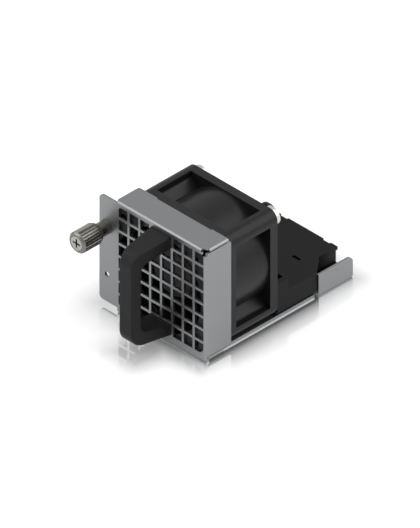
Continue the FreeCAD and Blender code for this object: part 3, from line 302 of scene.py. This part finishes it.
wear("bracket", finish_material("zinc_plated_sheet", (0.250, 0.254, 0.259), roughness=0.40, metallic=1.0,
                                contrast=0.06, swing=0.08, cloud=120.0, speck=2500.0, bump=0.05,
                                edge=0.12 * MM))

# Pull handle: a hoop of black moulded plastic with a fine spark-eroded grain, held by two
# blackened steel screws that come through the plate from behind.
wear("handle", finish_material("black_grained_plastic", (0.0105, 0.0105, 0.011), roughness=0.55,
                               contrast=0.12, cloud=90.0, speck=5000.0, bump=0.25, edge=0.15 * MM,
                               specular=0.18))
wear("handle_screws", finish_material("blackened_steel", (0.03, 0.03, 0.031), roughness=0.4, metallic=1.0))

# Mounting frame: a black moulded ring that spaces the fan from the plate, with square steel
# nuts pressed into its corners.
frame_plastic = finish_material("black_moulded_plastic", (0.0092, 0.0092, 0.0097), roughness=0.36,
                                cloud=100.0, speck=4000.0, bump=0.15, edge=0.10 * MM, specular=0.22)
bright_steel = finish_material("bright_plated_steel", (0.60, 0.60, 0.58), roughness=0.28, metallic=1.0,
                               contrast=0.08, cloud=400.0, speck=6000.0, edge=0.06 * MM)
wear("mounting_frame", frame_plastic)
wear("frame_nuts", bright_steel)

# Fan: frame and impeller are injection moulded in black glass-filled plastic. The impeller
# carries a steel cup with a ring magnet, and turns on a ground shaft in two ball bearings.
wear("fan_frame", frame_plastic)
wear("impeller", finish_material("black_rotor_plastic", (0.026, 0.026, 0.028), roughness=0.38,
                                 cloud=150.0, speck=4000.0))
drawn_steel = finish_material("drawn_steel", (0.45, 0.45, 0.45), roughness=0.35, metallic=1.0, cloud=300.0)
wear("rotor_yoke", drawn_steel)
wear("motor_shaft", drawn_steel)
wear("rotor_magnet", finish_material("bonded_ferrite", (0.035, 0.033, 0.032), roughness=0.7,
                                     contrast=0.3, speck=8000.0))
wear("shaft_clip", finish_material("white_nylon", (0.7, 0.69, 0.66), roughness=0.45, contrast=0.04))
for bearing in ("front_bearing", "rear_bearing"):
    wear(bearing, finish_material(f"{bearing}_steel", (0.6, 0.6, 0.6), roughness=0.2, metallic=1.0,
                                  contrast=0.05))
wear("bearing_tube", finish_material("turned_brass", (0.62, 0.44, 0.17), roughness=0.3, metallic=1.0,
                                     contrast=0.05))
wear("stator_core", finish_material("varnished_laminations", (0.16, 0.16, 0.17), roughness=0.45,
                                    metallic=0.8, contrast=0.2, speck=9000.0))
board_green = finish_material("green_circuit_board", (0.012, 0.075, 0.03), roughness=0.35, contrast=0.2,
                              cloud=600.0)
wear("motor_board", board_green)


# Fan screws: four long pan-head screws of bright plated steel with a cross recess, driven from
# the back of the fan through its corners into the nuts.
def start_edit(piece):
    """Opens a piece for editing in face mode with nothing selected."""
    bpy.ops.object.select_all(action="DESELECT")
    piece.select_set(True)
    bpy.context.view_layer.objects.active = piece
    bpy.ops.object.mode_set(mode="EDIT")
    bpy.ops.mesh.select_all(action="DESELECT")
    bpy.ops.mesh.select_mode(type="FACE")


def pick_faces(piece, test):
    """Selects the faces whose middle and normal pass a test, and no others."""
    mesh = bmesh.from_edit_mesh(piece.data)
    for face in mesh.faces:
        face.select_set(bool(test(face.calc_center_median(), face.normal)))
    bmesh.update_edit_mesh(piece.data)


def settle(piece, name, angle=25):
    """Fixes the piece's place in its mesh, shades it smooth by angle and names it."""
    bpy.ops.object.select_all(action="DESELECT")
    piece.select_set(True)
    bpy.context.view_layer.objects.active = piece
    bpy.ops.object.transform_apply(location=True, rotation=True, scale=True)
    bpy.ops.object.shade_smooth_by_angle(angle=math.radians(angle))
    piece.name = name
    piece.data.name = name
    return piece


def round_bar(radius, start, end, sides):
    """A closed round bar along Z, as a new object of its own."""
    bpy.ops.object.select_all(action="DESELECT")
    bpy.ops.mesh.primitive_cylinder_add(vertices=sides, radius=radius, depth=end - start,
                                        end_fill_type="NGON", location=(0, 0, (start + end) / 2))
    bar = bpy.context.object
    bpy.ops.object.transform_apply(location=True, rotation=True, scale=True)
    return bar


def bevel_piece(piece, width, segments=2, angle=40):
    """Rounds the piece's sharp edges with a modifier, and applies it."""
    bpy.context.view_layer.objects.active = piece
    bevel = piece.modifiers.new("edges", "BEVEL")
    bevel.width = width
    bevel.segments = segments
    bevel.angle_limit = math.radians(angle)
    bpy.ops.object.modifier_apply(modifier=bevel.name)


def cut_out(piece, cutter):
    """Takes one solid out of another and removes the cutter."""
    bpy.context.view_layer.objects.active = piece
    away = piece.modifiers.new("cut", "BOOLEAN")
    away.operation = "DIFFERENCE"
    away.solver = "EXACT"
    away.object = cutter
    bpy.ops.object.modifier_apply(modifier=away.name)
    bpy.data.objects.remove(cutter)


FACING, RECESS_TAPER = 0.9, 0.55


def cross_cutter(reach, width, top, depth):
    """A tapered cross, wide at the top, that cuts a screwdriver's recess."""
    bpy.ops.object.select_all(action="DESELECT")
    bpy.ops.mesh.primitive_cube_add(size=1, location=(0, 0, top - depth / 2))
    cutter = bpy.context.object
    cutter.scale = (width, width, depth)
    bpy.ops.object.transform_apply(location=True, rotation=True, scale=True)
    start_edit(cutter)
    for way in (Vector((1, 0, 0)), Vector((-1, 0, 0)), Vector((0, 1, 0)), Vector((0, -1, 0))):
        pick_faces(cutter, lambda middle, normal: normal.dot(way) > FACING and middle.xy.length < width)
        bpy.ops.mesh.extrude_region_move(TRANSFORM_OT_translate={"value": way * (reach - width / 2)})
    pick_faces(cutter, lambda middle, normal: normal.z < -FACING)
    bpy.ops.transform.resize(value=(RECESS_TAPER, RECESS_TAPER, 1.0), center_override=(0, 0, top))
    bpy.ops.object.mode_set(mode="OBJECT")
    return cutter


HEAD_SIDES = 40
RIM_SHARE, CROWN_SHARE, CROWN_RISE, HEAD_EDGE_SHARE = 0.22, 0.30, 0.5, 0.08


def driven_head(radius, height, dome, reach, width, depth):
    """A screw head along Z with its seat at nought: a disc with a domed top and a cross recess."""
    head = round_bar(radius, 0, height, HEAD_SIDES)
    start_edit(head)
    pick_faces(head, lambda middle, normal: normal.z > FACING)
    bpy.ops.mesh.inset(thickness=radius * RIM_SHARE)
    bpy.ops.transform.translate(value=(0, 0, dome))
    bpy.ops.mesh.inset(thickness=radius * CROWN_SHARE)
    bpy.ops.transform.translate(value=(0, 0, dome * CROWN_RISE))
    bpy.ops.object.mode_set(mode="OBJECT")
    bevel_piece(head, radius * HEAD_EDGE_SHARE)
    cut_out(head, cross_cutter(reach, width, height + 2 * dome, depth + 2 * dome))
    return head


def placed_copy(model, name, turn, place):
    """A copy with its own mesh, turned and moved to its place."""
    copy = bpy.data.objects.new(name, model.data.copy())
    bpy.context.scene.collection.objects.link(copy)
    copy.data.transform(Matrix.Translation(place) @ turn)
    copy.data.name = name
    return copy


def finish_piece(piece, material, body):
    """Gives a new piece its material and its body."""
    piece.data.materials.clear()
    piece.data.materials.append(material)
    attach(piece, body)


def join_pieces(pieces, name):
    """Joins several meshes into the first one."""
    bpy.ops.object.select_all(action="DESELECT")
    for piece in pieces:
        piece.select_set(True)
    bpy.context.view_layer.objects.active = pieces[0]
    bpy.ops.object.join()
    return settle(pieces[0], name)


FAN_HEAD_RADIUS, FAN_HEAD_WALL, FAN_HEAD_DOME = 3.3 * MM, 2.1 * MM, 0.32 * MM
FAN_CROSS_REACH, FAN_CROSS_WIDTH, FAN_CROSS_DEPTH = 1.5 * MM, 0.62 * MM, 1.3 * MM
FAN_SHANK_RADIUS, FAN_SHANK_SIDES, FAN_TIP_BEVEL = 1.25 * MM, 24, 0.2 * MM
SHANK_IN_HEAD = 0.1 * MM
SCREW_INSET = 4.0 * MM
# Each screw stops at its own turn, in degrees. TO_BACK turns a piece's Z to the module's Y.
FIRST_TURN, NEXT_TURN = 17, 31
TO_BACK = Matrix.Rotation(math.radians(-90), 4, "X")
fan_low, fan_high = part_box("fan_frame")
nuts_low, nuts_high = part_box("frame_nuts")
fan_middle = (fan_low + fan_high) / 2
fan_screw_spread = (fan_high.x - fan_low.x) / 2 - SCREW_INSET
fan_head = driven_head(FAN_HEAD_RADIUS, FAN_HEAD_WALL, FAN_HEAD_DOME,
                       FAN_CROSS_REACH, FAN_CROSS_WIDTH, FAN_CROSS_DEPTH)
fan_shank = round_bar(FAN_SHANK_RADIUS, (nuts_low.y + nuts_high.y) / 2 - fan_high.y, SHANK_IN_HEAD,
                      FAN_SHANK_SIDES)
bevel_piece(fan_shank, FAN_TIP_BEVEL)
fan_screw = join_pieces([fan_head, fan_shank], "fan_screw_model")
for number, (x, z) in enumerate([(-1, -1), (1, -1), (1, 1), (-1, 1)]):
    twist = Matrix.Rotation(math.radians(FIRST_TURN + NEXT_TURN * number), 4, "Z")
    spot = Vector((fan_middle.x + x * fan_screw_spread, fan_high.y, fan_middle.z + z * fan_screw_spread))
    screw = placed_copy(fan_screw, f"fan_screw_{number}", TO_BACK @ twist, spot)
    finish_piece(screw, bright_steel, "chassis")
    if number == 0:
        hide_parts("fan_screws")
bpy.data.objects.remove(fan_screw)


# Windings: enamelled copper wire wound round the stator's poles. The coils are soft at every
# edge, because the wire rounds each pole's corners.
MERGE_DISTANCE, FLAT_ANGLE = 0.0005 * MM, math.radians(0.5)


def merged_copy(node, name):
    """A copy of a CAD node as one clean mesh, ready to be cut and bevelled."""
    copy = bpy.data.objects.new(name, NODES[node].data.copy())
    bpy.context.scene.collection.objects.link(copy)
    start_edit(copy)
    bpy.ops.mesh.select_all(action="SELECT")
    bpy.ops.mesh.remove_doubles(threshold=MERGE_DISTANCE)
    bpy.ops.mesh.dissolve_limited(angle_limit=FLAT_ANGLE)
    bpy.ops.mesh.normals_make_consistent(inside=False)
    bpy.ops.object.mode_set(mode="OBJECT")
    return copy


WINDING_BEVEL = 0.35 * MM
windings = merged_copy("stator_windings", "copper_windings")
bevel_piece(windings, WINDING_BEVEL, segments=3)
settle(windings, "copper_windings", angle=40)
copper = finish_material("enamelled_copper", (0.42, 0.13, 0.05), roughness=0.3, metallic=0.9,
                         contrast=0.15)
finish_piece(windings, copper, "chassis")
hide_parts("stator_windings")

# Lead: four fine wires in a black sleeve, from the motor over the frame's corner to a plug on
# the board in the housing.
lead = merged_copy("fan_lead", "round_lead")
rounding = lead.modifiers.new("rounding", "SUBSURF")
rounding.levels = rounding.render_levels = 1
bpy.ops.object.modifier_apply(modifier=rounding.name)
settle(lead, "round_lead", angle=60)
black_sleeve = finish_material("black_sleeve", (0.02, 0.02, 0.021), roughness=0.42, contrast=0.15)
finish_piece(lead, black_sleeve, "chassis")
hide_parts("fan_lead")
pale_plastic = finish_material("natural_nylon", (0.62, 0.59, 0.50), roughness=0.5, contrast=0.05)
wear("lead_plug", pale_plastic)
wear("board_header", pale_plastic)
wear("adapter_board", board_green)
wear("board_screws", bright_steel)

# Plug housing: a black moulded cover over the board, screwed on from under the tray, with the
# blind-mate plug and its gold-plated contacts in its open rear end.
COVER_TOP, HOUSING_BEVEL = 8.9 * MM, 0.2 * MM
# The gate where the lead goes into the cover, from the housing's middle and the fan's back.
GATE_LEFT, GATE_RIGHT, GATE_BACK, GATE_DEPTH = 10.0 * MM, 13.8 * MM, 8.6 * MM, 1.8 * MM
housing_low, housing_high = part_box("connector_housing")
middle_x = (housing_low.x + housing_high.x) / 2
housing = merged_copy("connector_housing", "moulded_housing")
bpy.ops.mesh.primitive_cube_add(size=1, location=(middle_x + (GATE_LEFT + GATE_RIGHT) / 2,
                                                  fan_high.y + GATE_BACK / 2, COVER_TOP))
gate = bpy.context.object
gate.scale = (GATE_RIGHT - GATE_LEFT, GATE_BACK, GATE_DEPTH * 2)
bpy.ops.object.transform_apply(location=True, rotation=True, scale=True)
cut_out(housing, gate)
bevel_piece(housing, HOUSING_BEVEL, angle=50)
settle(housing, "moulded_housing", angle=5)
housing_plastic = finish_material("black_housing_plastic", (0.0032, 0.0032, 0.0034), roughness=0.40,
                                  cloud=100.0, speck=5000.0, bump=0.2, specular=0.13)
finish_piece(housing, housing_plastic, "chassis")
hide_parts("connector_housing")
SINK_RADIUS, SINK_DEPTH, SMALL_RADIUS, SMALL_BEVEL = 2.1 * MM, 0.9 * MM, 1.2 * MM, 0.1 * MM
SMALL_CROSS_REACH, SMALL_CROSS_WIDTH, SMALL_CROSS_DEPTH = 1.2 * MM, 0.5 * MM, 0.8 * MM
CUTTER_PROUD = 0.1 * MM
FRONT_SPREAD, REAR_SPREAD = 16.2 * MM, 10.4 * MM
FIRST_SMALL_TURN, NEXT_SMALL_TURN = 11, 23
small_low, small_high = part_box("housing_screws")
small_screw = round_bar(SINK_RADIUS, 0, SINK_DEPTH, HEAD_SIDES)
start_edit(small_screw)
pick_faces(small_screw, lambda middle, normal: normal.z > FACING)
bpy.ops.transform.resize(value=(SMALL_RADIUS / SINK_RADIUS, SMALL_RADIUS / SINK_RADIUS, 1.0),
                         center_override=(0, 0, 0))
bpy.ops.mesh.extrude_region_move(TRANSFORM_OT_translate={"value": (0, 0, small_high.z - SINK_DEPTH)})
bpy.ops.object.mode_set(mode="OBJECT")
bevel_piece(small_screw, SMALL_BEVEL)
small_recess = cross_cutter(SMALL_CROSS_REACH, SMALL_CROSS_WIDTH, CUTTER_PROUD, SMALL_CROSS_DEPTH)
small_recess.data.transform(Matrix.Rotation(math.pi, 4, "X"))
cut_out(small_screw, small_recess)
settle(small_screw, "small_screw_model")
front_row, rear_row = small_low.y + SINK_RADIUS, small_high.y - SINK_RADIUS
for number, (x, y) in enumerate([(-FRONT_SPREAD, front_row), (FRONT_SPREAD, front_row),
                                 (-REAR_SPREAD, rear_row), (REAR_SPREAD, rear_row)]):
    twist = Matrix.Rotation(math.radians(FIRST_SMALL_TURN + NEXT_SMALL_TURN * number), 4, "Z")
    screw = placed_copy(small_screw, f"housing_screw_{number}", twist, Vector((middle_x + x, y, 0)))
    finish_piece(screw, bright_steel, "chassis")
    if number == 0:
        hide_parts("housing_screws")
bpy.data.objects.remove(small_screw)
wear("blind_mate_plug", frame_plastic)
wear("contact_pins", finish_material("gold_plated_contacts", (0.78, 0.55, 0.22), roughness=0.25,
                                     metallic=1.0, contrast=0.05))

# Captive thumbscrew: a knurled knob on a steel screw, which slides in a sleeve riveted to the
# ear, against a spring.
KNOB_FACE, KNURL_START, KNURL_END, TAIL_RIM = 0.6 * MM, 0.8 * MM, 7.5 * MM, 0.15 * MM
KNURLS, EDGES_PER_KNURL, KNURL_DEPTH, BOTTOM_SHARE = 22, 4, 0.42 * MM, 0.1
FACE_RADIUS, TAIL_RADIUS, KNOB_BORE, KNOB_WALL = 3.1 * MM, 3.3 * MM, 2.58 * MM, 1.3 * MM
SHANK_RADIUS, HEAD_RADIUS, HEAD_HEIGHT, HEAD_GAP = 1.5 * MM, 2.6 * MM, 0.7 * MM, 0.09 * MM
TOUCH, OVERCUT, BORE_SIDES, KNOB_BEVEL = 0.01 * MM, 1.0 * MM, 64, 0.05 * MM
knob_low, knob_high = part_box("thumbscrew_knob")
knob_radius = (knob_high.x - knob_low.x) / 2
knob_depth = knob_high.y - knob_low.y
knob_front = Vector(((knob_low.x + knob_high.x) / 2, knob_low.y, (knob_low.z + knob_high.z) / 2))
turned_steel = finish_material("turned_nickel_plated_steel", (0.185, 0.178, 0.165), roughness=0.27,
                               metallic=1.0, cloud=300.0, speck=6000.0, edge=0.05 * MM)
wear("thumbscrew_ferrule", turned_steel)
# The knob is made with its face at nought and its back up, and then turned to the back.
knob = round_bar(knob_radius, KNURL_START, KNURL_END, EDGES_PER_KNURL * KNURLS)
start_edit(knob)
for way, rim, cone, end_radius in (
        (-1, KNURL_START - KNOB_FACE, KNOB_FACE, FACE_RADIUS),
        (1, TAIL_RIM, knob_depth - KNURL_END - TAIL_RIM, TAIL_RADIUS)):
    narrower = end_radius / knob_radius
    pick_faces(knob, lambda middle, normal: normal.z * way > FACING)
    bpy.ops.mesh.extrude_region_move(TRANSFORM_OT_translate={"value": (0, 0, way * rim)})
    bpy.ops.mesh.extrude_region_move(TRANSFORM_OT_translate={"value": (0, 0, way * cone)})
    bpy.ops.transform.resize(value=(narrower, narrower, 1.0), center_override=(0, 0, 0))
# The grooves: every fourth edge of the band is drawn inwards.
bpy.ops.mesh.select_mode(type="VERT")
bpy.ops.mesh.select_all(action="DESELECT")
mesh = bmesh.from_edit_mesh(knob.data)
for corner in mesh.verts:
    groove_place = math.atan2(corner.co.y, corner.co.x) / math.tau * KNURLS
    on_band = KNURL_START - TOUCH < corner.co.z < KNURL_END + TOUCH
    corner.select_set(on_band and abs(groove_place - round(groove_place)) < BOTTOM_SHARE)
bmesh.update_edit_mesh(knob.data)
inwards = (knob_radius - KNURL_DEPTH) / knob_radius
bpy.ops.transform.resize(value=(inwards, inwards, 1.0), center_override=(0, 0, 0))
bpy.ops.object.mode_set(mode="OBJECT")
cut_out(knob, round_bar(KNOB_BORE, KNOB_WALL, knob_depth + OVERCUT, BORE_SIDES))
cut_out(knob, round_bar(SHANK_RADIUS, -OVERCUT, KNOB_WALL + OVERCUT, BORE_SIDES))
cut_out(knob, round_bar(HEAD_RADIUS, -OVERCUT, HEAD_HEIGHT, BORE_SIDES))
bevel_piece(knob, KNOB_BEVEL, segments=1, angle=50)
knob.data.transform(Matrix.Translation(knob_front) @ TO_BACK)
settle(knob, "knurled_knob", angle=28)
finish_piece(knob, turned_steel, "thumbscrew")
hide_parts("thumbscrew_knob")

# Its screw: one turned bar with a cross recess in its head, pressed into the knob, a collar
# that holds it in the sleeve, a thin neck, and the thread that comes out behind the ear.
COLLAR_START, COLLAR_LENGTH, COLLAR_RADIUS = 8.04 * MM, 0.7 * MM, 1.85 * MM
NECK_RADIUS, THREAD_START, THREAD_PITCH, THREAD_DEPTH = 1.2 * MM, 14.6 * MM, 0.5 * MM, 0.28 * MM
TIP_SHARE, SHANK_BEVEL = 0.75, 0.08 * MM
CROSS_REACH, CROSS_WIDTH, CROSS_DEPTH = 1.75 * MM, 0.66 * MM, 1.9 * MM
shank_low, shank_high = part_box("thumbscrew_shank")
shank_length = shank_high.y - shank_low.y
reached, shank_radius = HEAD_HEIGHT - HEAD_GAP, HEAD_RADIUS - HEAD_GAP
shank = round_bar(shank_radius, 0, reached, BORE_SIDES)
start_edit(shank)
for next_place, next_radius in ((COLLAR_START, SHANK_RADIUS - HEAD_GAP),
                                (COLLAR_START + COLLAR_LENGTH, COLLAR_RADIUS),
                                (THREAD_START, NECK_RADIUS),
                                (shank_length - THREAD_DEPTH, SHANK_RADIUS - THREAD_DEPTH)):
    wider = next_radius / shank_radius
    pick_faces(shank, lambda middle, normal: normal.z > FACING and middle.z > reached - TOUCH)
    bpy.ops.mesh.extrude_region_move(TRANSFORM_OT_translate={"value": (0, 0, 0)})
    bpy.ops.transform.resize(value=(wider, wider, 1.0), center_override=(0, 0, reached))
    bpy.ops.mesh.extrude_region_move(TRANSFORM_OT_translate={"value": (0, 0, next_place - reached)})
    reached, shank_radius = next_place, next_radius
bpy.ops.mesh.extrude_region_move(TRANSFORM_OT_translate={"value": (0, 0, THREAD_DEPTH)})
bpy.ops.transform.resize(value=(TIP_SHARE, TIP_SHARE, 1.0), center_override=(0, 0, shank_length))
bpy.ops.object.mode_set(mode="OBJECT")
bevel_piece(shank, SHANK_BEVEL, angle=50)
recess = cross_cutter(CROSS_REACH, CROSS_WIDTH, CUTTER_PROUD, CROSS_DEPTH)
recess.data.transform(Matrix.Rotation(math.pi, 4, "X"))
cut_out(shank, recess)
STEPS_IN_TURN = 28


def wound(radius, wire, sides, start, height, turns):
    """A wire of a few sides wound round Z, with closed ends."""
    bpy.ops.object.select_all(action="DESELECT")
    bpy.ops.mesh.primitive_circle_add(vertices=sides, radius=wire, fill_type="NOTHING",
                                      location=(radius, 0, start), rotation=(math.radians(90), 0, 0))
    coil = bpy.context.object
    bpy.ops.object.transform_apply(location=True, rotation=True, scale=True)
    winding = coil.modifiers.new("winding", "SCREW")
    winding.angle = math.tau * turns
    winding.screw_offset = height
    winding.steps = winding.render_steps = round(STEPS_IN_TURN * turns)
    bpy.ops.object.modifier_apply(modifier=winding.name)
    start_edit(coil)
    bpy.ops.mesh.select_mode(type="EDGE")
    bpy.ops.mesh.select_all(action="SELECT")
    bpy.ops.mesh.fill_holes(sides=sides + 1)
    bpy.ops.mesh.select_all(action="SELECT")
    bpy.ops.mesh.normals_make_consistent(inside=False)
    bpy.ops.object.mode_set(mode="OBJECT")
    return coil


THREAD_TURNS, THREAD_SIDES, THREAD_WIRE, THREAD_RUN_IN = 3, 3, 0.266 * MM, 0.3 * MM
thread = wound(SHANK_RADIUS - THREAD_WIRE, THREAD_WIRE, THREAD_SIDES, THREAD_START + THREAD_RUN_IN,
               THREAD_TURNS * THREAD_PITCH, THREAD_TURNS)
shank = join_pieces([shank, thread], "cross_recessed_screw")
shank.data.transform(Matrix.Translation(knob_front) @ TO_BACK)
polished_steel = finish_material("polished_nickel_plated_steel", (0.36, 0.352, 0.335), roughness=0.28,
                                 metallic=1.0, contrast=0.08, cloud=300.0, speck=6000.0, edge=0.05 * MM)
finish_piece(shank, polished_steel, "thumbscrew")
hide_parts("thumbscrew_shank")

# Its spring: round steel wire between the knob and the sleeve, which on the real module shortens as the
# knob is pushed in; here it is built at its full length.
SPRING_WIRE, WIRE_SIDES, SPRING_TURNS, KNOB_TRAVEL = 0.17 * MM, 12, 4.5, 4.2 * MM
spring_low, spring_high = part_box("thumbscrew_spring")
spring_length = spring_high.y - spring_low.y
spring = wound((spring_high.x - spring_low.x) / 2 - SPRING_WIRE, SPRING_WIRE, WIRE_SIDES, SPRING_WIRE,
               spring_length - 2 * SPRING_WIRE, SPRING_TURNS)
spring_end = Vector((knob_front.x, spring_low.y, knob_front.z))
spring.data.transform(Matrix.Translation(spring_end) @ TO_BACK)
settle(spring, "round_wire_spring")
finish_piece(spring, bright_steel, "thumbscrew_carrier")
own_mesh(spring)
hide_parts("thumbscrew_spring")
